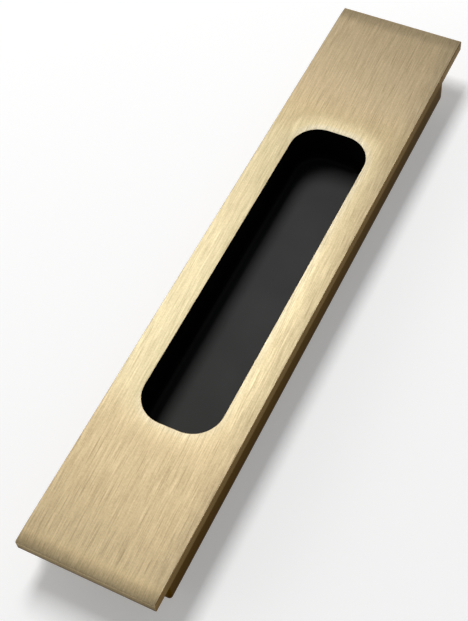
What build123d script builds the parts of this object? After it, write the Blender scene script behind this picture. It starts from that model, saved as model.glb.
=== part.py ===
from build123d import *
import os

os.makedirs("parts", exist_ok=True)

# Flush handle for a sliding door: a long brushed metal face with a deep black finger recess.
# All lengths are in millimetres and all angles in degrees.
# X runs across the handle, Y along it, and Z out of its face.
# The origin is below the centre of the face, on the plane that the recess cup stands on.

# Face
face_length = 204.0
face_width = 40.0
face_edge = 3.6            # height of the face's outer edge, and thickness of its two end lips
face_wall = 2.0            # metal behind the face, over the hollow body
end_fall_length = 5.5      # the brushed ends fall away over this length
end_fall_drop = 0.3
end_edge_round = 0.8
long_edge_round = 0.25

# Hollow body under the face
body_length = 185.9
body_depth = 7.25
body_shift = -2.75         # middle of the body and of the recess, measured from the middle of the face
body_step = 0.15           # the body's sides stand back from the face's edge by this much
body_wall = 2.2
body_upper_corner = 4.1
body_lower_corner = 0.9
pocket_corner = 2.0        # smallest inside corner of the hollow
foot_chamfer = 0.3

# Opening in the face
opening_length = 109.4
opening_width = 23.8
opening_corner = 8.8
opening_bevel = 0.3
recess_depth = 13.0        # from the face to the floor of the recess

# Recess cup
cup_wall = 1.5
cup_floor = 1.4
cup_draft = 1.5
cup_setback = 0.3          # the cup's wall stands back from the opening's metal edge
cup_floor_round = 2.0
cup_base_chamfer = 1.4
rim_width = 2.2
rim_thickness = 1.2

# Cup fastening: a tab at each end of the cup, with two screws in each
tab_length = 8.6
tab_width = 25.0
tab_thickness = 1.8
tab_corner = 3.0
tab_hole = 2.9
gusset_thickness = 1.4
gusset_height = 5.0
cup_boss_diameter = 5.6
cup_boss_height = 3.0
cup_screw_spacing = 15.0
cup_screw_edge = 4.1       # from the tab's end to the line of its screws

# Cup screws, with a plain shank in place of the thread
screw_thread = 2.5
screw_length = 5.4
screw_head_diameter = 5.2
screw_head_height = 1.7
screw_head_chamfer = 0.6
screw_tip_chamfer = 0.4
thread_clearance = 0.05    # between the shank and its hole, on the radius
pilot_depth = 4.1
cross_length = 2.9
cross_width = 0.7
cross_depth = 1.1
cross_taper = 12.0

# Door fastening: two tapped bosses at the back
door_screw_spacing = 160.0
door_screw_hole = 3.3
door_screw_depth = 6.0
door_screw_mouth = 0.4
door_boss_diameter = 8.6
rib_thickness = 1.5
rib_height = 4.4
rib_gap = 1.5              # between the long rib and the cup's tab

# Heights
face_z = cup_floor + recess_depth
lip_z = face_z - face_edge
ceiling_z = face_z - face_wall
body_z = lip_z - body_depth
cup_boss_z = ceiling_z - cup_boss_height
tab_z = cup_boss_z - tab_thickness

# Sizes that follow from those above
body_width = face_width - 2 * body_step
hollow_width = body_width - 2 * body_wall
hollow_length = body_length - 2 * body_wall
hollow_upper_corner = max(body_upper_corner - body_wall, pocket_corner)
cup_inner_width = opening_width + 2 * cup_setback
cup_inner_length = opening_length + 2 * cup_setback
cup_inner_corner = opening_corner + cup_setback
cup_outer_width = cup_inner_width + 2 * cup_wall
cup_outer_length = cup_inner_length + 2 * cup_wall
cup_outer_corner = cup_inner_corner + cup_wall
cup_end = cup_outer_length / 2
tab_end = cup_end + tab_length
cup_screw_line = tab_end - cup_screw_edge
door_screw_line = door_screw_spacing / 2


def end_y(side, distance):
    """A place along Y: side is 1 for the upper end or -1 for the lower end, from the recess's middle."""
    return body_shift + side * distance


cup_screw_places = [
    (column * cup_screw_spacing / 2, end_y(side, cup_screw_line))
    for side in (1, -1)
    for column in (-1, 1)
]
door_screw_places = [(0, end_y(side, door_screw_line)) for side in (1, -1)]


# Face housing
# One metal piece. The face is drawn from the side, so that its ends can fall away as a brushing belt
# leaves them. The body below it is milled hollow, and keeps ribs and tapped bosses at both ends.
with BuildPart() as face_housing:
    with BuildSketch(Plane.YZ) as face_profile:
        half = face_length / 2
        flat = half - end_fall_length
        with BuildLine():
            top = Line((-flat, face_z), (flat, face_z))
            upper_fall = TangentArc(top @ 1, (half, face_z - end_fall_drop), tangent=(1, 0))
            lower_fall = TangentArc(top @ 0, (-half, face_z - end_fall_drop), tangent=(-1, 0))
            Polyline(upper_fall @ 1, (half, lip_z), (-half, lip_z), lower_fall @ 1)
        make_face()
        end_corners = vertices().group_by(Axis.X)
        fillet(end_corners[0].sort_by(Axis.Y)[-1], end_edge_round)
        fillet(end_corners[-1].sort_by(Axis.Y)[-1], end_edge_round)
    extrude(amount=face_width / 2, both=True)
    top_face = faces().sort_by(Axis.Z)[-1]
    long_edges = top_face.edges().filter_by(Axis.Y)
    fillet(long_edges, long_edge_round)

    with BuildSketch(Plane.XY.offset(body_z)) as body_outline:
        with Locations((0, body_shift)):
            Rectangle(body_width, body_length)
        fillet(vertices().group_by(Axis.Y)[-1], body_upper_corner)
        fillet(vertices().group_by(Axis.Y)[0], body_lower_corner)
    extrude(amount=body_depth)
    foot_edges = faces().sort_by(Axis.Z)[0].edges()
    chamfer(foot_edges, foot_chamfer)

    with BuildSketch(Plane.XY.offset(body_z)) as hollow_outline:
        with Locations((0, body_shift)):
            Rectangle(hollow_width, hollow_length)
        fillet(vertices().group_by(Axis.Y)[-1], hollow_upper_corner)
        fillet(vertices().group_by(Axis.Y)[0], pocket_corner)
    extrude(amount=ceiling_z - body_z, mode=Mode.SUBTRACT)

    with BuildSketch(Plane.XY.offset(ceiling_z - rib_height)) as ribs:
        rib_end = hollow_length / 2
        rib_start = tab_end + rib_gap
        rib_middle = (rib_start + rib_end) / 2
        with Locations([(0, end_y(side, rib_middle)) for side in (1, -1)]):
            Rectangle(rib_thickness, rib_end - rib_start)
        with Locations(door_screw_places):
            Rectangle(hollow_width, rib_thickness)
    extrude(amount=rib_height)

    with BuildSketch(Plane.XY.offset(body_z)) as door_bosses:
        with Locations(door_screw_places):
            Circle(door_boss_diameter / 2)
    extrude(amount=ceiling_z - body_z)
    with BuildSketch(Plane.XY.offset(cup_boss_z)) as cup_bosses:
        with Locations(cup_screw_places):
            Circle(cup_boss_diameter / 2)
    extrude(amount=cup_boss_height)

    with BuildSketch(Plane.XY.offset(body_z)) as door_screw_holes:
        with Locations(door_screw_places):
            Circle(door_screw_hole / 2)
    extrude(amount=door_screw_depth, mode=Mode.SUBTRACT)
    door_hole_mouths = edges().filter_by(GeomType.CIRCLE).group_by(Axis.Z)[0]
    chamfer(door_hole_mouths.filter_by(lambda e: abs(e.radius - door_screw_hole / 2) < 0.01), door_screw_mouth)
    with BuildSketch(Plane.XY.offset(cup_boss_z)) as pilot_holes:
        with Locations(cup_screw_places):
            Circle(screw_thread / 2)
    extrude(amount=pilot_depth, mode=Mode.SUBTRACT)

    with BuildSketch(Plane.XY.offset(ceiling_z)) as opening:
        with Locations((0, body_shift)):
            RectangleRounded(opening_width, opening_length, opening_corner)
    extrude(amount=face_wall, mode=Mode.SUBTRACT)
    opening_edges = faces().sort_by(Axis.Z)[-1].inner_wires()[0].edges()
    chamfer(opening_edges, opening_bevel)

face_housing.part.label = "face_housing"
export_step(face_housing.part, "parts/face_housing.step")


# Recess cup
# One black moulding. Its rim bears on the back of the face around the opening, its walls have draft,
# and a gusseted tab at each end takes the screws.
with BuildPart() as recess_cup:
    with BuildSketch(Plane.XY.offset(ceiling_z)) as cup_outside:
        with Locations((0, body_shift)):
            RectangleRounded(cup_outer_width, cup_outer_length, cup_outer_corner)
    extrude(amount=-ceiling_z, taper=cup_draft)
    chamfer(faces().sort_by(Axis.Z)[0].edges(), cup_base_chamfer)

    with BuildSketch(Plane.XY.offset(ceiling_z - rim_thickness)) as rim:
        with Locations((0, body_shift)):
            RectangleRounded(
                cup_outer_width + 2 * rim_width,
                cup_outer_length + 2 * rim_width,
                cup_outer_corner + rim_width,
            )
    extrude(amount=rim_thickness)

    with BuildSketch(Plane.XY.offset(tab_z)) as tabs:
        with Locations((0, body_shift)):
            RectangleRounded(tab_width, 2 * tab_end, tab_corner)
    extrude(amount=tab_thickness)

    with BuildSketch(Plane.YZ) as gussets:
        for side in (1, -1):
            with BuildLine():
                Polyline(
                    (end_y(side, cup_end - cup_wall), tab_z),
                    (end_y(side, tab_end - tab_corner), tab_z),
                    (end_y(side, cup_end - cup_wall), tab_z - gusset_height),
                    close=True,
                )
            make_face()
    extrude(amount=gusset_thickness / 2, both=True)

    with BuildSketch(Plane.XY.offset(tab_z)) as tab_holes:
        with Locations(cup_screw_places):
            Circle(tab_hole / 2)
    extrude(amount=tab_thickness, mode=Mode.SUBTRACT)

    with BuildSketch(Plane.XY.offset(ceiling_z)) as cup_inside:
        with Locations((0, body_shift)):
            RectangleRounded(cup_inner_width, cup_inner_length, cup_inner_corner)
    extrude(amount=-(ceiling_z - cup_floor), taper=cup_draft, mode=Mode.SUBTRACT)
    recess_floor = faces().filter_by(Axis.Z).filter_by_position(Axis.Z, cup_floor - 0.01, cup_floor + 0.01)
    fillet(recess_floor.edges(), cup_floor_round)

recess_cup.part.label = "recess_cup"
export_step(recess_cup.part, "parts/recess_cup.step")


def make_cup_screw(seat):
    """A pan-head screw. The seat is the plane under its head, and its local Z points out of the head."""
    with BuildPart(seat) as screw:
        with BuildSketch(seat):
            Circle(screw_head_diameter / 2)
        extrude(amount=screw_head_height)
        head_edge = edges().filter_by(GeomType.CIRCLE).sort_by(Axis.Z)[0]
        chamfer(head_edge, screw_head_chamfer)
        with BuildSketch(seat):
            Circle(screw_thread / 2 - thread_clearance)
        extrude(amount=-screw_length)
        tip_edge = edges().filter_by(GeomType.CIRCLE).sort_by(Axis.Z)[-1]
        chamfer(tip_edge, screw_tip_chamfer)
        with BuildSketch(seat.offset(screw_head_height)):
            Rectangle(cross_length, cross_width)
            Rectangle(cross_width, cross_length)
        extrude(amount=-cross_depth, taper=cross_taper, mode=Mode.SUBTRACT)
    return screw.part


# Cup screws
# Their heads bear on the tabs from behind, so they point up into the housing's bosses.
for number, (x, y) in enumerate(cup_screw_places, start=1):
    cup_screw = make_cup_screw(Plane(origin=(x, y, tab_z), z_dir=(0, 0, -1)))
    cup_screw.label = f"cup_screw_{number}"
    export_step(cup_screw, f"parts/cup_screw_{number}.step")
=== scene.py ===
# %% [markdown]
# # A flush sliding door handle in brushed pale gold
# The handle is a long metal face, brushed along its length, with a deep black finger recess. Its solids are
# already modelled: a metal housing, a moulded cup behind its opening, and four small screws at the back.
# This script dresses them. It sets up the camera, makes one material for each finish, and adds a pale
# table, a soft light and a simple room. Lengths are in metres. X runs across the handle, Y along it and Z
# out of its face.

import math

import bpy
from mathutils import Matrix, Vector


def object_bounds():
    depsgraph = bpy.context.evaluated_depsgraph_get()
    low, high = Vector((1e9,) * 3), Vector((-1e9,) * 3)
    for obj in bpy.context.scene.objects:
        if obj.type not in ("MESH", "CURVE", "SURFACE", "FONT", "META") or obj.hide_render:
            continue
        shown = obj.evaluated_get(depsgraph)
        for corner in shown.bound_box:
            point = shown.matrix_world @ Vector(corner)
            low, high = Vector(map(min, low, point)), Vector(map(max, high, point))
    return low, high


MM = 0.001
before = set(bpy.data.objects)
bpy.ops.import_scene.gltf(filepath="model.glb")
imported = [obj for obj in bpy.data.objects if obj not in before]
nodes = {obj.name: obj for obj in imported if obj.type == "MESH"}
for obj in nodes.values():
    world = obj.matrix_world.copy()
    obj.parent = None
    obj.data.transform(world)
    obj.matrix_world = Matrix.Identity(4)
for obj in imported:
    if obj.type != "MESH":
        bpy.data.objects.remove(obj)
cad_low, cad_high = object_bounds()
print("nodes:", sorted(nodes))
print("size in mm:", [round(side / MM, 2) for side in cad_high - cad_low])

# %% [markdown]
# ## Camera
# The photograph looks down on the handle from its lower right. The long edges run towards one vanishing
# point, and how fast they do so gives the lens and the distance. The camera is written as a point on the
# face that it aims at, a direction, a distance and a small roll, because those are easier to read and to
# change than a matrix.

# %% Place the camera
FACE_Z = cad_high.z
CAMERA_AIM = Vector((-0.45 * MM, -18.01 * MM, FACE_Z))
CAMERA_AZIMUTH = math.radians(-57.61)
CAMERA_ELEVATION = math.radians(56.35)
CAMERA_ROLL = math.radians(-7.13)
CAMERA_DISTANCE = 352.27 * MM
CAMERA_LENS = 74.12
CAMERA_SENSOR = 36
NEAREST_SEEN = 0.01
FARTHEST_SEEN = 50


def direction(azimuth, elevation):
    """A unit vector that points at this azimuth from X and this elevation above the table."""
    return Vector((
        math.cos(elevation) * math.cos(azimuth),
        math.cos(elevation) * math.sin(azimuth),
        math.sin(elevation),
    ))


def facing(backward, roll):
    """The rotation of a camera or a lamp whose local Z points backward, turned about that axis by roll."""
    level_right = Vector((0, 0, 1)).cross(backward).normalized()
    level_up = backward.cross(level_right)
    right = level_right * math.cos(roll) + level_up * math.sin(roll)
    up = backward.cross(right)
    return Matrix((right, up, backward)).transposed()


def place_camera():
    """Adds the camera at the photograph's viewing angle."""
    camera = bpy.data.objects.new("camera", bpy.data.cameras.new("camera"))
    bpy.context.scene.collection.objects.link(camera)
    camera.data.lens = CAMERA_LENS
    camera.data.sensor_width = CAMERA_SENSOR
    camera.data.clip_start = NEAREST_SEEN
    camera.data.clip_end = FARTHEST_SEEN
    backward = direction(CAMERA_AZIMUTH, CAMERA_ELEVATION)
    place = Matrix.Translation(CAMERA_AIM + backward * CAMERA_DISTANCE)
    camera.matrix_world = place @ facing(backward, CAMERA_ROLL).to_4x4()
    bpy.context.scene.camera = camera
    return camera


camera = place_camera()
print("camera at", [round(value / MM) for value in camera.matrix_world.translation], "mm")

# %% [markdown]
# ## Node trees
# A finish could be painted in an image. Here it is a formula of the place on the handle and of the way the
# surface faces there, because a formula stays sharp from close by and needs no unwrapping. Blender keeps
# it as a tree of nodes. A node takes several lines to write, so the helpers in this script add one, connect
# what they are given and return its output. What they are given may be a plain value or another node's
# output, so one call can stand inside another, as in a written formula.

# %% Add a node and fill its inputs
def put(tree, value, socket):
    """Connects an output to a socket, or sets the socket to a plain value."""
    if isinstance(value, bpy.types.NodeSocket):
        tree.links.new(value, socket)
    else:
        socket.default_value = value


def add_node(tree, kind, inputs, output=0, **settings):
    """Adds a node, fills its inputs by name or number, and returns one of its outputs."""
    node = tree.nodes.new("ShaderNode" + kind)
    for name, setting in settings.items():
        setattr(node, name, setting)
    for name, value in inputs.items():
        put(tree, value, node.inputs[name])
    return node.outputs[output]


print("node helpers:", put.__name__, add_node.__name__)

# %% [markdown]
# ## Arithmetic with nodes
# Blender has one node for the arithmetic of numbers and one for that of vectors, such as a place or a
# direction. Two more take a vector apart and put it together again, so that X, Y and Z can be changed on
# their own.

# %% Numbers and vectors
def calc(tree, operation, *numbers):
    """The result of an operation on numbers."""
    return add_node(tree, "Math", dict(enumerate(numbers)), operation=operation)


def calc_vector(tree, operation, *vectors):
    """The result of an operation on vectors, when that is a vector too."""
    return add_node(tree, "VectorMath", dict(enumerate(vectors)), operation=operation)


def split(tree, vector):
    """The X, Y and Z of a vector."""
    node = tree.nodes.new("ShaderNodeSeparateXYZ")
    put(tree, vector, node.inputs["Vector"])
    return node.outputs["X"], node.outputs["Y"], node.outputs["Z"]


def join(tree, x, y, z):
    """A vector from its X, Y and Z."""
    return add_node(tree, "CombineXYZ", {"X": x, "Y": y, "Z": z})


print("arithmetic helpers:", calc.__name__, calc_vector.__name__, split.__name__, join.__name__)

# %% [markdown]
# ## Noise and ramps
# Two nodes do most of the work in the finishes. One gives smooth noise, whose detail says how many finer
# layers are added to it. The other is a ramp, which turns a measure, such as a place or a noise, into a
# share from 0 to 1, or goes between two other values. A smooth ramp starts and ends gently, so that no
# edge can be seen in it.

# %% Noise and ramps
NOISE_MIDDLE = 0.5
NOISE_ROUGHNESS = 0.5


def noise(tree, vector, scale, detail, roughness=NOISE_ROUGHNESS):
    """Smooth noise from 0 to 1."""
    inputs = {"Vector": vector, "Scale": scale, "Detail": detail, "Roughness": roughness}
    return add_node(tree, "TexNoise", inputs, "Fac")


def span(tree, value, low, high, out_low=0.0, out_high=1.0, smooth=False):
    """Maps low..high to out_low..out_high, and holds the ends."""
    inputs = {"Value": value, "From Min": low, "From Max": high, "To Min": out_low, "To Max": out_high}
    interpolation = "SMOOTHSTEP" if smooth else "LINEAR"
    return add_node(tree, "MapRange", inputs, "Result", interpolation_type=interpolation)


print("the noise's middle is", NOISE_MIDDLE)

# %% [markdown]
# ## Brushed pale gold
# The face is metal that a fine abrasive belt has run over lengthwise, and that was coloured pale gold. The
# belt leaves long shallow scratches. Light spreads widely across them and hardly along them, and that is
# what anisotropy does in the shader. The scratches that the eye can pick out are drawn here as noise that
# is stretched along the belt's path. On this handle the belt ran one to three degrees off the long edges,
# so the noise is sheared by a slant.

# %% Noise stretched along the brushing
BRUSHING_SLANT = -0.034
STREAK_DETAIL = 2.0


def streaks(tree, point, width, length, detail=STREAK_DETAIL, slant=BRUSHING_SLANT):
    """Noise drawn out along the brushing: its marks are about width across and length long, in metres."""
    x, y, z = split(tree, point)
    across = calc(tree, "SUBTRACT", x, calc(tree, "MULTIPLY", y, slant))
    sheared = join(tree, across, y, z)
    stretched = calc_vector(tree, "MULTIPLY", sheared, (1 / width, 1 / length, 1 / width))
    return noise(tree, stretched, 1.0, detail)


slant_degrees = math.degrees(math.atan(BRUSHING_SLANT))
print("the brushing runs", round(slant_degrees, 1), "degrees off the long edges")

# %% [markdown]
# ## The lines that the belt leaves
# Seen close, the brushing is a mixture. Fine short lines lie between coarser and longer ones, and a grain
# without a direction breaks them up. Here and there a coarse grit has cut one deeper line, and another has
# rubbed one brighter line. The belt never runs quite straight, so each kind of line has its own slant and
# they cross at a flat angle. The mixture is kept as one height with its middle at 0.5, because the colour,
# the roughness and the bump all have to agree on where a line is.

# %% Height of the brushing
COARSE_WIDTH = 0.4 * MM
COARSE_LENGTH = 11 * MM
COARSE_SHARE = 0.36
COARSE_SLANT = -0.014
FINE_WIDTH = 0.22 * MM
FINE_LENGTH = 5.5 * MM
FINE_SHARE = 0.34
FINE_SLANT = -0.036
FINE_DETAIL = 1.0
GRAIN_PER_METRE = 2200
GRAIN_SHARE = 0.3
GRAIN_DETAIL = 3.0
SINGLE_WIDTH = 0.24 * MM
SINGLE_LENGTH = 12 * MM
SINGLE_ASIDE = (0.3, 0.1, 0)
SINGLE_SLANT = -0.056
SINGLE_DETAIL = 0.0
DEEP_FULL = 0.25
DEEP_NONE = 0.34
DEEP_LINE = -0.15
BRIGHT_NONE = 0.67
BRIGHT_FULL = 0.77
BRIGHT_LINE = 0.08


def brushing(tree, point):
    """The brushing's height, with 0.5 for its middle."""
    coarse = streaks(tree, point, COARSE_WIDTH, COARSE_LENGTH, slant=COARSE_SLANT)
    fine = streaks(tree, point, FINE_WIDTH, FINE_LENGTH, FINE_DETAIL, FINE_SLANT)
    grain = noise(tree, point, GRAIN_PER_METRE, GRAIN_DETAIL)
    lines = calc(tree, "MULTIPLY", coarse, COARSE_SHARE)
    lines = calc(tree, "ADD", lines, calc(tree, "MULTIPLY", fine, FINE_SHARE))
    lines = calc(tree, "ADD", lines, calc(tree, "MULTIPLY", grain, GRAIN_SHARE))
    elsewhere = calc_vector(tree, "ADD", point, SINGLE_ASIDE)
    single = streaks(tree, elsewhere, SINGLE_WIDTH, SINGLE_LENGTH, SINGLE_DETAIL, SINGLE_SLANT)
    deep = span(tree, single, DEEP_FULL, DEEP_NONE, DEEP_LINE, 0.0)
    bright = span(tree, single, BRIGHT_NONE, BRIGHT_FULL, 0.0, BRIGHT_LINE)
    return calc(tree, "ADD", calc(tree, "ADD", lines, deep), bright)


print("the height's parts add up to", round(COARSE_SHARE + FINE_SHARE + GRAIN_SHARE, 2))

# %% [markdown]
# ## Distance to the opening
# Some of the finish follows the opening's rounded outline. The distance to that outline comes from the
# usual formula for a rounded rectangle. Outside the straight sides it is the distance to the nearer side,
# and around the corners it is the distance to the corner's circle.

# %% Distance to the opening
OPENING_MIDDLE_Y = -2.75 * MM
OPENING_HALF_WIDTH = 11.9 * MM
OPENING_HALF_LENGTH = 54.7 * MM
OPENING_CORNER = 8.8 * MM


def away(tree, value, middle):
    """How far a value is from the middle, on either side."""
    return calc(tree, "ABSOLUTE", calc(tree, "SUBTRACT", value, middle))


def distance_to_opening(tree, point):
    """How far a point of the face is outside the opening's edge, in metres."""
    x, y, _ = split(tree, point)
    along = away(tree, y, OPENING_MIDDLE_Y)
    beyond_x = calc(tree, "SUBTRACT", calc(tree, "ABSOLUTE", x), OPENING_HALF_WIDTH - OPENING_CORNER)
    beyond_y = calc(tree, "SUBTRACT", along, OPENING_HALF_LENGTH - OPENING_CORNER)
    corner_x = calc(tree, "MAXIMUM", beyond_x, 0.0)
    corner_y = calc(tree, "MAXIMUM", beyond_y, 0.0)
    squares = calc(tree, "ADD", calc(tree, "POWER", corner_x, 2.0), calc(tree, "POWER", corner_y, 2.0))
    outside = calc(tree, "SQRT", squares)
    inside = calc(tree, "MINIMUM", calc(tree, "MAXIMUM", beyond_x, beyond_y), 0.0)
    return calc(tree, "SUBTRACT", calc(tree, "ADD", outside, inside), OPENING_CORNER)


def from_opening_middle(tree, point):
    """How far a point is from the opening's middle, measured along the handle, in metres."""
    _, y, _ = split(tree, point)
    return away(tree, y, OPENING_MIDDLE_Y)


print("the opening is", round(2 * OPENING_HALF_LENGTH / MM, 1), "mm long")

# %% [markdown]
# ## Mixing and tinting
# A mix goes from one value to another as a share goes from 0 to 1. A tint multiplies a colour as far as its
# share says, which keeps what is already drawn in that colour visible. Blender's Mix node does both. It has
# separate sockets for each kind of data, so a small table says which two inputs and which output belong to
# a kind.

# %% Mix numbers, vectors and colours
MIX_SOCKETS = {"FLOAT": (2, 3, 0), "VECTOR": (4, 5, 1), "RGBA": (6, 7, 2)}


def blend(tree, kind, share, first, second, blend_type="MIX"):
    """Goes from the first value to the second, or to what its blend type makes of both."""
    input_a, input_b, output = MIX_SOCKETS[kind]
    inputs = {0: share, input_a: first, input_b: second}
    return add_node(tree, "Mix", inputs, output, data_type=kind, blend_type=blend_type)


def mix(tree, share, colour_a, colour_b):
    return blend(tree, "RGBA", share, colour_a, colour_b)


def tint(tree, share, colour, factors):
    """Multiplies the colour by the factors, as far as the share says."""
    return blend(tree, "RGBA", share, colour, factors, "MULTIPLY")


def mix_vectors(tree, share, vector_a, vector_b):
    return blend(tree, "VECTOR", share, vector_a, vector_b)


def mix_numbers(tree, share, number_a, number_b):
    return blend(tree, "FLOAT", share, number_a, number_b)


print("kinds that can be mixed:", sorted(MIX_SOCKETS))

# %% [markdown]
# ## Rubbed brighter, with a painted highlight, around the opening
# Past both ends of the opening, and less so along its right side, the metal is partly rubbed brighter and
# partly given a painted highlight. The brightness starts at the opening's brim and is gone after some seven
# millimetres. It is put on by multiplying the gold, which keeps the brushing's lines visible under it. Blue
# is raised most, because brightly lit metal looks paler.

# %% Rubbed gold and painted highlight around the opening
# These gains are partly a rubbed finish and partly a painted highlight of the soft light.
RUBBED_HIGHLIGHT_GAIN = (1.25, 1.31, 1.36, 1)
RUBBED_START = 0.8 * MM
RUBBED_END = 7 * MM
BRIM_HIGHLIGHT_GAIN = (1.04, 1.1, 1.28, 1)
BRIM_START = 0.6 * MM
BRIM_END = 2.2 * MM
PAST_ENDS_START = 44 * MM
PAST_ENDS_FULL = 57 * MM
RIGHT_SIDE_START = -12 * MM
RIGHT_SIDE_FULL = 4 * MM
RIGHT_SIDE_SHARE = 0.6
LOWER_BRIM_Y = -57 * MM
LOWER_BRIM_SHARE = 0.55
UPPER_BRIM_Y = 52 * MM
UPPER_BRIM_SHARE = 1.15


def rubbed_and_highlit_gold(tree, point, gold):
    """Brightens the gold near the opening, partly as a painted highlight, most of all past its upper end.
    """
    x, y, _ = split(tree, point)
    from_middle = from_opening_middle(tree, point)
    past_ends = span(tree, from_middle, PAST_ENDS_START, PAST_ENDS_FULL, smooth=True)
    on_right = span(tree, x, RIGHT_SIDE_START, RIGHT_SIDE_FULL, 0.0, RIGHT_SIDE_SHARE)
    by_height = span(tree, y, LOWER_BRIM_Y, UPPER_BRIM_Y, LOWER_BRIM_SHARE, UPPER_BRIM_SHARE)
    share = calc(tree, "MULTIPLY", calc(tree, "MAXIMUM", past_ends, on_right), by_height)
    distance = distance_to_opening(tree, point)
    rubbed = span(tree, distance, RUBBED_START, RUBBED_END, 1.0, 0.0, smooth=True)
    brim_highlight = span(tree, distance, BRIM_START, BRIM_END, 1.0, 0.0)
    # Painted highlight, partly a rubbed finish, multiplied onto the gold near the opening.
    gold = tint(tree, calc(tree, "MULTIPLY", rubbed, share), gold, RUBBED_HIGHLIGHT_GAIN)
    return tint(tree, calc(tree, "MULTIPLY", brim_highlight, share), gold, BRIM_HIGHLIGHT_GAIN)


print("the rubbed gold fades out", round(RUBBED_END / MM, 1), "mm from the opening")

# %% [markdown]
# ## Painted light and shade on the gold
# The soft light's highlight and shade on the face are painted into the gold here. The strips beside the
# opening get a painted highlight, most of all a little below their middle, and the left strip gets more of
# it than the right one. Painted shade deepens the gold on the left strip's inner side, along the right edge
# of the face and on its lower end, and a painted highlight makes a paler band where that end falls away.
# The upper end is a touch paler. Soft ramps in X and Y put these shades in place.

# %% Painted light and shade of the gold by its place
# Gains for the painted highlight of the soft light and for the painted shade around it.
LEFT_STRIP_LIGHT_GAIN = (0.99, 1.05, 1.1, 1)
RIGHT_STRIP_LIGHT_GAIN = (0.94, 0.955, 0.97, 1)
STRIP_FULL = 42 * MM
STRIP_END = 62 * MM
HIGHLIGHT_PEAK_Y = -20 * MM
HIGHLIGHT_PEAK_GAIN = (1.05, 1.07, 1.08, 1)
HIGHLIGHT_PEAK_FULL = 10 * MM
HIGHLIGHT_PEAK_END = 45 * MM
LOWER_END_SHADE_GAIN = (0.92, 0.915, 0.92, 1)
LOWER_END_FULL = -66 * MM
LOWER_END_NONE = -48 * MM
LOWER_FALL_START = -93 * MM
LOWER_FALL_END = -101 * MM
FALL_BAND_Y = -99.2 * MM
FALL_HIGHLIGHT_GAIN = (1.15, 1.14, 1.12, 1)
FALL_BAND_FULL = 0.6 * MM
FALL_BAND_END = 3 * MM
UPPER_END_GAIN = (1.02, 1.02, 1.07, 1)
UPPER_END_NONE = 56 * MM
UPPER_END_FULL = 68 * MM
INNER_SIDE_SHADE_GAIN = (0.88, 0.88, 0.87, 1)
INNER_SIDE_NONE = -16.5 * MM
RIGHT_EDGE_SHADE_GAIN = (0.82, 0.82, 0.82, 1)
RIGHT_EDGE_NONE = 14.5 * MM
RIGHT_EDGE_FULL = 19.7 * MM


def painted_light_and_shade(tree, point, gold):
    """Paints light and shade into the gold by its place on the face."""
    x, y, _ = split(tree, point)
    beside = span(tree, from_opening_middle(tree, point), STRIP_FULL, STRIP_END, 1.0, 0.0, smooth=True)
    to_right = span(tree, x, -OPENING_HALF_WIDTH, OPENING_HALF_WIDTH)
    # Painted highlight on the strips beside the opening, more on the left one.
    gold = tint(tree, beside, gold, mix(tree, to_right, LEFT_STRIP_LIGHT_GAIN, RIGHT_STRIP_LIGHT_GAIN))
    # Painted highlight where the face reflects the light most, below the opening's middle.
    palest = span(tree, away(tree, y, HIGHLIGHT_PEAK_Y), HIGHLIGHT_PEAK_FULL, HIGHLIGHT_PEAK_END, 1.0, 0.0, smooth=True)
    gold = tint(tree, palest, gold, HIGHLIGHT_PEAK_GAIN)
    # Painted shade on the lower end, above where it falls away.
    lower_end_shade = span(tree, y, LOWER_END_FULL, LOWER_END_NONE, 1.0, 0.0, smooth=True)
    above_fall = span(tree, y, LOWER_FALL_END, LOWER_FALL_START)
    gold = tint(tree, calc(tree, "MULTIPLY", lower_end_shade, above_fall), gold, LOWER_END_SHADE_GAIN)
    # Painted highlight in a band where the lower end falls away.
    fall_highlight = span(tree, away(tree, y, FALL_BAND_Y), FALL_BAND_FULL, FALL_BAND_END, 1.0, 0.0, smooth=True)
    gold = tint(tree, fall_highlight, gold, FALL_HIGHLIGHT_GAIN)
    upper_end = span(tree, y, UPPER_END_NONE, UPPER_END_FULL, smooth=True)
    gold = tint(tree, upper_end, gold, UPPER_END_GAIN)
    # Painted shade on the left strip's inner side.
    inner_side_shade = span(tree, x, INNER_SIDE_NONE, -OPENING_HALF_WIDTH)
    inner_side_shade = calc(tree, "MULTIPLY", inner_side_shade, calc(tree, "LESS_THAN", x, 0.0))
    gold = tint(tree, calc(tree, "MULTIPLY", inner_side_shade, beside), gold, INNER_SIDE_SHADE_GAIN)
    # Painted shade along the right edge of the face.
    return tint(tree, span(tree, x, RIGHT_EDGE_NONE, RIGHT_EDGE_FULL), gold, RIGHT_EDGE_SHADE_GAIN)


highlight_peak_below = (OPENING_MIDDLE_Y - HIGHLIGHT_PEAK_Y) / MM
print("the gold is palest", round(highlight_peak_below, 1), "mm below the opening's middle")

# %% [markdown]
# ## The gentle fall at both ends
# The belt takes a little more off both ends, so the face falls away there by 0.3 mm and then turns over a
# small rounding into the end faces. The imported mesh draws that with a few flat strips, and a brushed
# surface shows every change of slope. So the material works out a smooth slope from the distance to the
# end, and hands it to the shader as a normal. The same slope also changes slightly from the left edge to
# the right one, as on a face that is a hair out of flat.

# %% Smooth normal of the face
FACE_HALF_LENGTH = 102 * MM
FALL_START = 96 * MM
FALL_SLOPE = 0.072
SLOPE_PER_METRE_ACROSS = 0.27
FLAT_HALF_WIDTH = 19.74 * MM
ROUNDING_TURNED = 0.4
ROUNDING_UPRIGHT = 0.7


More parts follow.
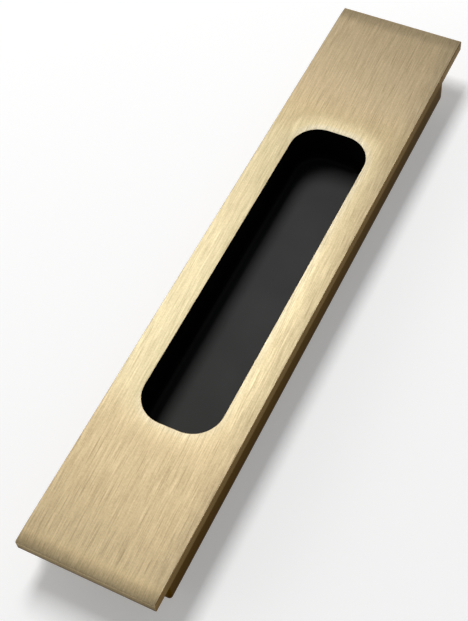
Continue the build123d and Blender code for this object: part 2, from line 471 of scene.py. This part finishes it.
def face_normal(tree, point, normal):
    """The mesh's own normal, but with a smooth slope on top of the face and over its rounded ends."""
    x, y, _ = split(tree, point)
    _, _, up = split(tree, normal)
    fall = span(tree, calc(tree, "ABSOLUTE", y), FALL_START, FACE_HALF_LENGTH, 0.0, FALL_SLOPE, smooth=True)
    slope = calc(tree, "MULTIPLY", fall, calc(tree, "SIGN", y))
    slope = calc(tree, "ADD", slope, calc(tree, "MULTIPLY", x, SLOPE_PER_METRE_ACROSS))
    smooth_normal = calc_vector(tree, "NORMALIZE", join(tree, 0.0, slope, 1.0))
    is_top = span(tree, up, ROUNDING_TURNED, ROUNDING_UPRIGHT)
    is_flat = calc(tree, "LESS_THAN", calc(tree, "ABSOLUTE", x), FLAT_HALF_WIDTH)
    share = calc(tree, "MULTIPLY", is_top, is_flat)
    return mix_vectors(tree, share, normal, smooth_normal)


print("the face ends tilt by", round(math.degrees(math.atan(FALL_SLOPE)), 1), "degrees")

# %% [markdown]
# ## Gold that no belt has touched, with painted shade
# The face's long edges, the body under it and the back are smoother than the face. The sides' gold is
# darkened by painted shade, for the dark room and the shadowed table that they reflect: close to bronze
# below the lip and deepest towards the body's foot, with a painted dark line just under the face. Towards
# the upper end painted shade makes the edge and the body darker still. The height in Z tells these zones
# apart. The back can't be seen there, so it gets a plain middle gold.

# %% Unbrushed gold of the edges, the body and the back, with painted shade on the sides
LIP_Z = FACE_Z - 3.6 * MM
BODY_Z = LIP_Z - 7.25 * MM
ZONE_BLUR = 0.1 * MM
# The sides' gold is darkened as painted shade, for the dark room and shadowed table they reflect.
SHADED_GOLD_EDGE = (0.3, 0.205, 0.1, 1)
EDGE_TOP_SHADE_GAIN = (0.8, 0.76, 0.74, 1)
EDGE_TOP_HEIGHT = 1 * MM
UPPER_LIP_SHADE_GAIN = (0.5, 0.52, 0.6, 1)
UPPER_LIP_NONE = 60 * MM
UPPER_LIP_FULL = 94 * MM
SHADED_GOLD_BODY = (0.116, 0.063, 0.024, 1)
BODY_UPPER_SHADE_GAIN = (0.78, 0.77, 0.64, 1)
BODY_UPPER_NONE = 20 * MM
BODY_UPPER_FULL = 50 * MM
BODY_FOOT_SHADE_GAIN = (0.7, 0.68, 0.7, 1)
GOLD_BACK = (0.36, 0.27, 0.15, 1)
BACK_TURNED = -0.5
BACK_UPRIGHT = -0.3


def back_share(tree, normal):
    """1 on what looks down, and 0 elsewhere."""
    _, _, up = split(tree, normal)
    return span(tree, up, BACK_TURNED, BACK_UPRIGHT, 1.0, 0.0)


def shaded_plain_gold(tree, point, normal):
    """The gold of the face's long edges, the body's sides with painted shade, and the back."""
    _, y, z = split(tree, point)
    # Painted shade: the body deepest at its foot and towards the upper end; the edge darker towards the
    # upper end and in a line under the face.
    body = tint(tree, span(tree, z, BODY_Z, LIP_Z, 1.0, 0.0), SHADED_GOLD_BODY, BODY_FOOT_SHADE_GAIN)
    body = tint(tree, span(tree, y, BODY_UPPER_NONE, BODY_UPPER_FULL), body, BODY_UPPER_SHADE_GAIN)
    edge = tint(tree, span(tree, y, UPPER_LIP_NONE, UPPER_LIP_FULL), SHADED_GOLD_EDGE, UPPER_LIP_SHADE_GAIN)
    top_line = FACE_Z - EDGE_TOP_HEIGHT
    edge = tint(tree, span(tree, z, top_line - ZONE_BLUR, top_line + ZONE_BLUR), edge, EDGE_TOP_SHADE_GAIN)
    sides = mix(tree, span(tree, z, LIP_Z - ZONE_BLUR, LIP_Z + ZONE_BLUR), body, edge)
    return mix(tree, back_share(tree, normal), sides, GOLD_BACK)


print("the body's foot is", round(BODY_Z / MM, 2), "mm above the cup's base")

# %% [markdown]
# ## Where the brushing ends
# The belt has brushed the face and its two end faces, and painted shade darkens the end faces towards their
# lower edge. The narrow bevel around the opening has the face's gold too. The opening's upright wall is
# black in the photograph, like the cup behind it, so it's covered with a dull black coat that isn't
# metallic.

# %% Zones of the brushed metal
END_TOP = LIP_Z + 2.6 * MM
END_BLUR = 0.2 * MM
# Painted shade on the end faces, deepest at their lower edge.
END_SHADE_GAIN = (0.7, 0.7, 0.71, 1)
END_FOOT = LIP_Z + 1.2 * MM
END_FOOT_SHADE_GAIN = (0.45, 0.43, 0.42, 1)
SIDE_UPRIGHT = 0.3
SIDE_TURNED = 0.6
UNDERSIDE_FULL = -0.3
UNDERSIDE_NONE = -0.1
BEVEL_WIDTH = 0.32 * MM
BEVEL_UP = 0.5
COAT_DISTANCE = 0.1 * MM


def face_share(tree, point, normal):
    """1 on the face and its end faces, and 0 elsewhere."""
    _, _, z = split(tree, point)
    across, _, up = split(tree, normal)
    lengthwise = span(tree, calc(tree, "ABSOLUTE", across), SIDE_UPRIGHT, SIDE_TURNED, 1.0, 0.0)
    above_lip = calc(tree, "GREATER_THAN", z, LIP_Z)
    not_below = span(tree, up, UNDERSIDE_FULL, UNDERSIDE_NONE)
    return calc(tree, "MULTIPLY", calc(tree, "MULTIPLY", lengthwise, above_lip), not_below)


def bevel_share(tree, point, normal):
    """1 on the opening's bevel, and 0 elsewhere."""
    _, _, up = split(tree, normal)
    near = calc(tree, "LESS_THAN", distance_to_opening(tree, point), BEVEL_WIDTH)
    return calc(tree, "MULTIPLY", near, calc(tree, "GREATER_THAN", up, BEVEL_UP))


def coat_share(tree, point, normal):
    """1 on the opening's upright wall, and 0 elsewhere."""
    _, _, up = split(tree, normal)
    near = calc(tree, "LESS_THAN", distance_to_opening(tree, point), COAT_DISTANCE)
    return calc(tree, "MULTIPLY", near, calc(tree, "LESS_THAN", calc(tree, "ABSOLUTE", up), BEVEL_UP))


def end_shaded_gold(tree, point, gold):
    """Darkens the end faces with painted shade, most of all at their lower edge."""
    _, _, z = split(tree, point)
    end_face_shade = span(tree, z, END_TOP - END_BLUR, END_TOP + END_BLUR, 1.0, 0.0)
    foot = span(tree, z, LIP_Z, END_FOOT, 1.0, 0.0)
    return tint(tree, foot, tint(tree, end_face_shade, gold, END_SHADE_GAIN), END_FOOT_SHADE_GAIN)


print("the brushing ends", round((FACE_Z - LIP_Z) / MM, 1), "mm below the face")

# %% [markdown]
# ## A material and its shader
# Blender's Principled shader covers metal and plastic alike, so a finish only has to fill its sockets. The
# place is taken in the object's own coordinates, which are metres here, so a mark of 1 mm is 1 mm long on
# the real handle. A bump tilts the surface as a height would, and leaves the mesh as it is.

# %% Start a material and fill its shader
def new_material(name):
    """A new material with a Principled shader, and its node tree."""
    material = bpy.data.materials.new(name)
    material.use_nodes = True
    return material, material.node_tree


def set_shader(tree, **sockets):
    """Sets the shader's sockets by name, with spaces written as underscores."""
    shader = tree.nodes["Principled BSDF"]
    for name, value in sockets.items():
        put(tree, value, shader.inputs[name.replace("_", " ")])


def surface_point(tree):
    """The surface point in the object's own coordinates."""
    return add_node(tree, "TexCoord", {}, "Object")


def surface_normal(tree):
    """The direction in which the surface faces."""
    return add_node(tree, "NewGeometry", {}, "Normal")


def bump(tree, height, distance, strength, below=None):
    """Turns a height from 0 to 1 into a tilt of the surface; distance is the full height in metres."""
    inputs = {"Height": height, "Distance": distance, "Strength": strength}
    if below is not None:
        inputs["Normal"] = below
    return add_node(tree, "Bump", inputs, "Normal")


print("material helpers:", new_material.__name__, set_shader.__name__, bump.__name__)

# %% [markdown]
# ## The brushed gold material
# The colour goes from a dark to a light gold with the brushing's height, over broad soft bands. Then the
# zones are laid on, among them painted highlight and painted shade. The lines also change the roughness and
# the bump by a little, which makes them sparkle instead of looking printed. The tangent of the anisotropy
# lies across the lines. The specular tint keeps the metal gold where it is seen at a flat angle, and
# without it the sides would turn grey.

# %% Brushed gold material
GOLD_LIGHT = (0.72, 0.585, 0.36, 1)
GOLD_DARK = (0.48, 0.375, 0.215, 1)
BAND_WIDTH = 1.6 * MM
BAND_LENGTH = 25 * MM
BAND_SHARE = 0.12
GRAZING_TINT = (0.55, 0.48, 0.38, 1)
COAT_BLACK = (0.003, 0.003, 0.003, 1)
COAT_SPECULAR = 0.05
USUAL_SPECULAR = 0.5
DARKEST_MARK = 0.3
LIGHTEST_MARK = 0.7
ROUGH_IN_LINES = 0.59
ROUGH_BETWEEN = 0.53
SIDE_ROUGHNESS = 0.18
BACK_ROUGHNESS = 0.4
LINE_DEPTH = 0.012 * MM
LINE_STRENGTH = 0.5
BRUSHED_ANISOTROPY = 0.95


def brushed_gold():
    """The material of the face housing."""
    material, tree = new_material("brushed_pale_gold")
    point = surface_point(tree)
    normal = surface_normal(tree)
    marks = brushing(tree, point)
    bands = calc(tree, "SUBTRACT", streaks(tree, point, BAND_WIDTH, BAND_LENGTH), NOISE_MIDDLE)
    tone = calc(tree, "ADD", marks, calc(tree, "MULTIPLY", bands, BAND_SHARE))
    gold = mix(tree, span(tree, tone, DARKEST_MARK, LIGHTEST_MARK), GOLD_DARK, GOLD_LIGHT)
    # Painted highlight and painted shade are laid on the brushed gold here.
    gold = rubbed_and_highlit_gold(tree, point, gold)
    gold = painted_light_and_shade(tree, point, gold)
    gold = end_shaded_gold(tree, point, gold)
    bevel = bevel_share(tree, point, normal)
    brushed = calc(tree, "MAXIMUM", face_share(tree, point, normal), bevel)
    coat = coat_share(tree, point, normal)
    colour = mix(tree, brushed, shaded_plain_gold(tree, point, normal), gold)
    colour = mix(tree, coat, colour, COAT_BLACK)
    by_marks = span(tree, marks, DARKEST_MARK, LIGHTEST_MARK, ROUGH_IN_LINES, ROUGH_BETWEEN)
    roughness = mix_numbers(tree, brushed, SIDE_ROUGHNESS, by_marks)
    roughness = mix_numbers(tree, back_share(tree, normal), roughness, BACK_ROUGHNESS)
    smooth_normal = face_normal(tree, point, normal)
    tangent = calc_vector(tree, "CROSS_PRODUCT", (BRUSHING_SLANT, 1, 0), normal)
    set_shader(
        tree, Base_Color=colour, Metallic=calc(tree, "SUBTRACT", 1.0, coat), Roughness=roughness,
        Normal=bump(tree, marks, LINE_DEPTH, LINE_STRENGTH, smooth_normal),
        Specular_IOR_Level=mix_numbers(tree, coat, USUAL_SPECULAR, COAT_SPECULAR),
        Anisotropic=BRUSHED_ANISOTROPY, Tangent=tangent, Specular_Tint=GRAZING_TINT,
    )
    return material


housing_material = brushed_gold()
print(housing_material.name, "has", len(housing_material.node_tree.nodes), "nodes")

# %% [markdown]
# ## Matte black moulding
# The recess is a moulded cup with a fine grain, which keeps it matte. The grain is a few hundredths of a
# millimetre high. Slow clouds change the black and its roughness by very little. Without them the floor
# of the recess would look like a flat hole. Towards the lower end a ramp along the cup paints shade into
# the black, a little darker and less blue. The recess's walls show no light at all, so painted shade makes
# the black deeper inside, from the floor's rounding upwards, and it reflects less there.

# %% Black cup material
BLACK = (0.0114, 0.0114, 0.0113, 1)
BLACK_WORN = (0.0123, 0.0123, 0.0121, 1)
# Painted shade towards the cup's lower end.
BLACK_LOWER_SHADE_GAIN = (0.79, 0.81, 0.64, 1)
BLACK_LOWER_FULL = -54 * MM
BLACK_LOWER_NONE = 0 * MM
GRAINS_PER_METRE = 2600
MOULD_GRAIN_DETAIL = 3.0
MOULD_GRAIN_ROUGHNESS = 0.6
GRAIN_HEIGHT = 0.03 * MM
GRAIN_STRENGTH = 0.4
CLOUDS_PER_METRE = 60
CLOUDS_DETAIL = 3.0
CLOUDS_LOW = 0.3
CLOUDS_HIGH = 0.7
MATTE_LOW = 0.57
MATTE_HIGH = 0.6
MATTE_SPECULAR = 0.24
# Painted shade on the recess's walls: darker and less reflective.
WALL_SHADE_GAIN = (0.25, 0.25, 0.25, 1)
WALL_SHADE_SPECULAR = 0.05
WALL_START = 1.45 * MM
WALL_FULL = 1.9 * MM
CUP_INSIDE = 0.9 * MM


def moulded_black():
    """The material of the recess cup."""
    material, tree = new_material("moulded_black")
    point = surface_point(tree)
    grain = noise(tree, point, GRAINS_PER_METRE, MOULD_GRAIN_DETAIL, MOULD_GRAIN_ROUGHNESS)
    clouds = noise(tree, point, CLOUDS_PER_METRE, CLOUDS_DETAIL)
    colour = mix(tree, span(tree, clouds, CLOUDS_LOW, CLOUDS_HIGH), BLACK, BLACK_WORN)
    _, y, z = split(tree, point)
    # Painted shade, darker and less blue towards the lower end.
    lower = span(tree, y, BLACK_LOWER_FULL, BLACK_LOWER_NONE, 1.0, 0.0)
    colour = tint(tree, lower, colour, BLACK_LOWER_SHADE_GAIN)
    inside = calc(tree, "LESS_THAN", distance_to_opening(tree, point), CUP_INSIDE)
    # Painted shade on the walls, from the floor's rounding upwards.
    wall = calc(tree, "MULTIPLY", span(tree, z, WALL_START, WALL_FULL), inside)
    colour = tint(tree, wall, colour, WALL_SHADE_GAIN)
    specular = mix_numbers(tree, wall, MATTE_SPECULAR, WALL_SHADE_SPECULAR)
    roughness = span(tree, clouds, CLOUDS_LOW, CLOUDS_HIGH, MATTE_HIGH, MATTE_LOW)
    set_shader(
        tree, Base_Color=colour, Roughness=roughness, Specular_IOR_Level=specular,
        Normal=bump(tree, grain, GRAIN_HEIGHT, GRAIN_STRENGTH),
    )
    return material


cup_material = moulded_black()
print(cup_material.name, "has", len(cup_material.node_tree.nodes), "nodes")

# %% [markdown]
# ## Zinc-plated screws
# Four small screws hold the cup from behind, so the photograph doesn't show them. Such screws are usually
# steel with a thin zinc plating. It is bright and a little cloudy, and where the clouds are dull it is
# also rougher, so one noise drives both.

# %% Screw material
ZINC = (0.56, 0.57, 0.58, 1)
ZINC_DULL = (0.38, 0.385, 0.38, 1)
ZINC_SMOOTH = 0.26
ZINC_ROUGH = 0.42
PLATING_PER_METRE = 900
PLATING_DETAIL = 4.0
PLATING_HEIGHT = 0.01 * MM
PLATING_STRENGTH = 0.3


def zinc_plated():
    """The material of the cup screws."""
    material, tree = new_material("zinc_plated")
    point = surface_point(tree)
    clouds = noise(tree, point, PLATING_PER_METRE, PLATING_DETAIL)
    colour = mix(tree, span(tree, clouds, CLOUDS_LOW, CLOUDS_HIGH), ZINC_DULL, ZINC)
    roughness = span(tree, clouds, CLOUDS_LOW, CLOUDS_HIGH, ZINC_ROUGH, ZINC_SMOOTH)
    set_shader(
        tree, Base_Color=colour, Metallic=1.0, Roughness=roughness,
        Normal=bump(tree, clouds, PLATING_HEIGHT, PLATING_STRENGTH),
    )
    return material


screw_material = zinc_plated()
print(screw_material.name, "has", len(screw_material.node_tree.nodes), "nodes")

# %% [markdown]
# ## Each solid gets its finish
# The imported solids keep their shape, and only the material in their slot changes. The housing is gold and
# the cup is black. The four screws are alike, so they share one material.

# %% Give each solid its material
MATERIALS = {
    "face_housing": housing_material,
    "recess_cup": cup_material,
}
for name, node in nodes.items():
    material = MATERIALS.get(name, screw_material)
    node.data.materials.clear()
    node.data.materials.append(material)
    print(name, "is", material.name)

# %% [markdown]
# ## Table
# The photograph has a plain white background. The table is plain too and nearly white, and it keeps the
# handle's shadow. Its own colour stays below white, so that it doesn't glow on the handle's sides. A
# small emission lifts it for the camera and in reflections. It sends no light to matte surfaces.

# %% Table
TABLE_SIZE = 24.0
TABLE_Z = -0.05 * MM
TABLE_COLOUR = (0.82, 0.82, 0.82, 1)
TABLE_ROUGHNESS = 0.9
TABLE_SPECULAR = 0.1
TABLE_LIFT = 0.28
WHITE = (1, 1, 1, 1)


def seen_directly(tree):
    """1 for the rays that show a background: straight from the camera, in metal and through glass."""
    kinds = tree.nodes.new("ShaderNodeLightPath").outputs
    seen = calc(tree, "MAXIMUM", kinds["Is Camera Ray"], kinds["Is Glossy Ray"])
    return calc(tree, "MAXIMUM", seen, kinds["Is Transmission Ray"])


def add_table():
    """A wide plain table, a hair below the cup's base so that the two planes don't coincide."""
    half = TABLE_SIZE / 2
    corners = [(x, y, TABLE_Z) for x, y in ((-half, -half), (half, -half), (half, half), (-half, half))]
    mesh = bpy.data.meshes.new("table")
    mesh.from_pydata(corners, [], [(0, 1, 2, 3)])
    table = bpy.data.objects.new("table", mesh)
    bpy.context.scene.collection.objects.link(table)
    material, tree = new_material("table_white")
    lift = calc(tree, "MULTIPLY", seen_directly(tree), TABLE_LIFT)
    set_shader(
        tree, Base_Color=TABLE_COLOUR, Roughness=TABLE_ROUGHNESS, Specular_IOR_Level=TABLE_SPECULAR,
        Emission_Color=WHITE, Emission_Strength=lift,
    )
    mesh.materials.append(material)
    return table


table = add_table()
print("the table is", table.dimensions.x, "m wide")

# %% [markdown]
# ## One soft light
# One soft light stands behind the handle, up and to its left. It's a rectangle whose long side runs the
# way the handle does. The face reflects its stretched image to the camera, brightest near the middle. The
# light's narrow side crosses the recess, so the shadow in there has a short soft border.

# %% Soft light
LIGHT_AZIMUTH = math.radians(131)
LIGHT_ELEVATION = math.radians(57.2)
LIGHT_ROLL = math.radians(-46)
LIGHT_DISTANCE = 1.6
LIGHT_WIDTH = 0.45
LIGHT_HEIGHT = 0.8
LIGHT_POWER = 17.9


def add_soft_light():
    """One rectangular area lamp that faces the handle."""
    lamp_data = bpy.data.lights.new("soft_light", "AREA")
    lamp_data.shape = "RECTANGLE"
    lamp_data.size = LIGHT_WIDTH
    lamp_data.size_y = LIGHT_HEIGHT
    lamp_data.energy = LIGHT_POWER
    lamp = bpy.data.objects.new("soft_light", lamp_data)
    bpy.context.scene.collection.objects.link(lamp)
    backward = direction(LIGHT_AZIMUTH, LIGHT_ELEVATION)
    place = Matrix.Translation(backward * LIGHT_DISTANCE)
    lamp.matrix_world = place @ facing(backward, LIGHT_ROLL).to_4x4()
    return lamp


lamp = add_soft_light()
print("the light hangs", round(lamp.location.z, 2), "m above the table")

# %% [markdown]
# ## The room around it
# The sky stands for the room. Its walls are pale on the light's side and dark behind the camera, because
# the photograph shows the handle's right side dark. Overhead it is dark as well, which keeps the shadow in
# the recess deep. A pale rim just above the horizon lets the table run into white. Like the table's lift,
# it is shown to the camera and in reflections, and lights nothing matte.

# %% Sky
SKY_LIGHT_SIDE = (1.25, 1.25, 1.25, 1)
SKY_DARK_SIDE = (0.12, 0.12, 0.12, 1)
SKY_BRIGHT_AZIMUTH = math.radians(155)
SKY_DARK_SHARE = -0.2
SKY_BRIGHT_SHARE = 0.7
SKY_HIGH = (0.12, 0.12, 0.12, 1)
SKY_LOW_END = math.sin(math.radians(24))
SKY_HIGH_START = math.sin(math.radians(40))
RIM_END = math.sin(math.radians(12))
RIM_FADED = math.sin(math.radians(20))


def paint_sky():
    """Pale walls towards the light, a dark room behind the camera, and dark overhead."""
    world = bpy.data.worlds.new("studio")
    bpy.context.scene.world = world
    world.use_nodes = True
    tree = world.node_tree
    ray = add_node(tree, "TexCoord", {}, "Generated")
    _, _, height = split(tree, ray)
    overhead = span(tree, height, SKY_LOW_END, SKY_HIGH_START, smooth=True)
    to_bright = direction(SKY_BRIGHT_AZIMUTH, 0.0)
    lightward = add_node(tree, "VectorMath", {0: ray, 1: to_bright}, "Value", operation="DOT_PRODUCT")
    bright = span(tree, lightward, SKY_DARK_SHARE, SKY_BRIGHT_SHARE, smooth=True)
    walls = mix(tree, bright, SKY_DARK_SIDE, SKY_LIGHT_SIDE)
    sky = mix(tree, overhead, walls, SKY_HIGH)
    rim = span(tree, height, RIM_END, RIM_FADED, 1.0, 0.0, smooth=True)
    sky = mix(tree, calc(tree, "MULTIPLY", rim, seen_directly(tree)), sky, WHITE)
    put(tree, sky, tree.nodes["Background"].inputs["Color"])
    return world


print("sky:", paint_sky().name)

# %% [markdown]
# ## Finish
# The Standard view keeps the colours as the materials state them.

# %% Finish
bpy.context.scene.view_settings.view_transform = "Standard"
